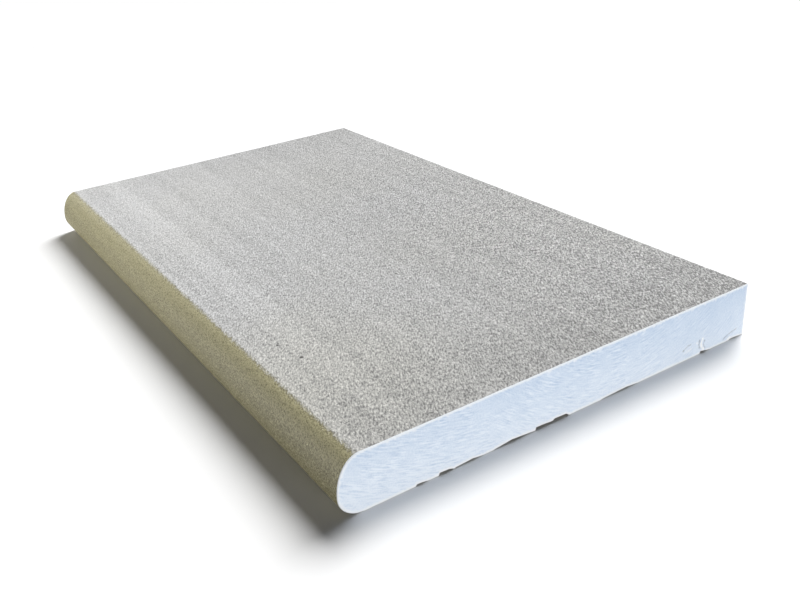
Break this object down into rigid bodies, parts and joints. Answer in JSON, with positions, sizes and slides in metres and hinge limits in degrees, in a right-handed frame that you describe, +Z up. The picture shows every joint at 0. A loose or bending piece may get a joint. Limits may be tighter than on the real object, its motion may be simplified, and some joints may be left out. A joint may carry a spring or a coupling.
{
  "type": "bullnose coping stone",
  "caption": "Flat rectangular stone slab with one long edge rounded to a bullnose, laid in a row to cap a wall, a step or the edge of a pool.",
  "frame": {"origin": "middle of the bed face, on the plane that the stone lies on", "axes": "+Y along the length of the nose, +X from the nose towards the square back edge, +Z up out of the top face"},
  "size_m": [0.35, 0.6, 0.042],
  "materials": {
    "stone": "sandblasted grey top, honed tan nose, pale sawn ends and back, riven underside"
  },
  "bodies": {
    "root": {"coping_stone": "stone"}
  },
  "joints": []
}
